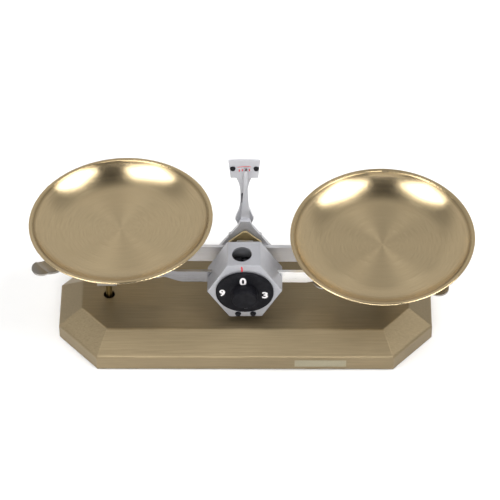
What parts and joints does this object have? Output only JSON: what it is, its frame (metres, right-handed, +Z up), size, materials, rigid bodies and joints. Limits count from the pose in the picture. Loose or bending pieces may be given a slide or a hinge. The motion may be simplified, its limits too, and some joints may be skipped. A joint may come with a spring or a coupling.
{
  "type": "two-pan table balance",
  "caption": "Mechanical two-pan table balance with loose dished pans, a pointer over a small scale plate and a dial that shifts a hidden poise.",
  "frame": {"origin": "on the table, under the middle of the whole balance as its box lies at rest", "axes": "+X towards the right pan, +Y to the back (the dial faces -Y), +Z up"},
  "size_m": [0.3868, 0.1718, 0.1798],
  "materials": {
    "base_paint": "satin gold-bronze paint",
    "pan_brass": "circular brushed, lacquered",
    "silver_paint": "silver-grey paint on a casting",
    "bar_metal": "brushed, lacquered",
    "steel": "ground",
    "bright_plate": "nickel plated",
    "rod_brass": "drawn",
    "gold_paint": "gold paint",
    "black_plastic": "fine matte",
    "black_steel": "black oxide",
    "black_gloss": "gloss black enamel",
    "plate_white": "light silver-grey enamel",
    "rubber": "matte",
    "cover_paint": "dark paint"
  },
  "bodies": {
    "base": {"base_shell": "base_paint", "bottom_cover": "cover_paint", "cover_screws": "steel", "rubber_feet": "rubber", "pillar": "gold_paint", "pillar_screws": "steel", "pillar_nuts": "steel", "centre_bearing": "steel", "stay_bracket": "steel", "stay_pivot_pin": "steel", "scale_post": "silver_paint", "post_screws": "black_steel", "scale_plate": "plate_white", "scale_plate_screws": "black_steel"},
    "beam": {"front_bar": "bar_metal", "rear_bar": "bar_metal", "centre_knife": "steel", "end_knife_left": "steel", "end_knife_right": "steel", "bar_spacers": "steel", "spacer_screws": "black_steel", "nut_stud_left": "steel", "nut_stud_right": "steel", "pointer_frame": "silver_paint", "frame_screws": "black_steel", "pointer": "silver_paint", "pointer_rivets": "steel", "knife_block": "bright_plate", "housing_shell": "silver_paint", "housing_back_plate": "silver_paint", "housing_screws": "black_steel", "guide_rod": "steel", "dial_bush": "rod_brass"},
    "dial": {"dial": "black_plastic", "knob": "black_plastic", "dial_shaft": "steel", "pinion": "rod_brass", "shaft_clip": "steel"},
    "poise": {"poise": "black_gloss", "poise_rack": "rod_brass"},
    "nut_left": {"zero_nut_left": "rod_brass"},
    "nut_right": {"zero_nut_right": "rod_brass"},
    "stay": {"stay_bar": "steel", "stay_pins": "steel"},
    "support_left": {"yoke_left": "bright_plate", "yoke_bearings_left": "steel", "rod_left": "rod_brass", "cross_left": "bright_plate", "hub_washer_left": "steel", "hub_bolt_left": "steel", "hub_nut_left": "steel"},
    "pan_left": {"pan_left": "pan_brass"},
    "support_right": {"yoke_right": "bright_plate", "yoke_bearings_right": "steel", "rod_right": "rod_brass", "cross_right": "bright_plate", "hub_washer_right": "steel", "hub_bolt_right": "steel", "hub_nut_right": "steel"},
    "pan_right": {"pan_right": "pan_brass"}
  },
  "joints": [
    {"name": "beam_tilt", "type": "hinge", "parent": "base", "child": "beam", "pos_m": [-0.00604, 0.00148, 0.075], "axis": [0, 1, 0], "range_deg": [-4.5, 3.5]},
    {"name": "left_support_swing", "type": "hinge", "parent": "beam", "child": "support_left", "pos_m": [-0.12704, 0.00148, 0.07606], "axis": [0, 1, 0], "range_deg": [-3.5, 4.5]},
    {"name": "right_support_swing", "type": "hinge", "parent": "beam", "child": "support_right", "pos_m": [0.11496, 0.00148, 0.07394], "axis": [0, 1, 0], "range_deg": [-3.5, 4.5]},
    {"name": "stay_swing", "type": "hinge", "parent": "base", "child": "stay", "pos_m": [-0.00604, 0.00148, 0.016], "axis": [0, 1, 0], "range_deg": [-4.5, 3.5]},
    {"name": "dial_turn", "type": "hinge", "parent": "beam", "child": "dial", "pos_m": [-0.00608, -0.03352, 0.0706], "axis": [0, -1, 0], "range_deg": [0, 330]},
    {"name": "poise_slide", "type": "slide", "parent": "beam", "child": "poise", "axis": [0.9998, 0, 0.0175], "range_m": [0, 0.0173]},
    {"name": "left_pan_lift", "type": "slide", "parent": "support_left", "child": "pan_left", "axis": [0, 0, 1], "range_m": [0, 0.06]},
    {"name": "right_pan_lift", "type": "slide", "parent": "support_right", "child": "pan_right", "axis": [0, 0, 1], "range_m": [0, 0.06]},
    {"name": "left_nut_travel", "type": "slide", "parent": "beam", "child": "nut_left", "axis": [1, 0, -0.0087], "range_m": [-0.004, 0.004]},
    {"name": "right_nut_travel", "type": "slide", "parent": "beam", "child": "nut_right", "axis": [1, 0, -0.0087], "range_m": [-0.004, 0.004]}
  ],
  "couplings": [
    {"joint": "left_support_swing", "follows": "beam_tilt", "ratio": -1},
    {"joint": "right_support_swing", "follows": "beam_tilt", "ratio": -1},
    {"joint": "stay_swing", "follows": "beam_tilt", "ratio": 1},
    {"joint": "poise_slide", "follows": "dial_turn", "m_per_rad": 0.003}
  ]
}
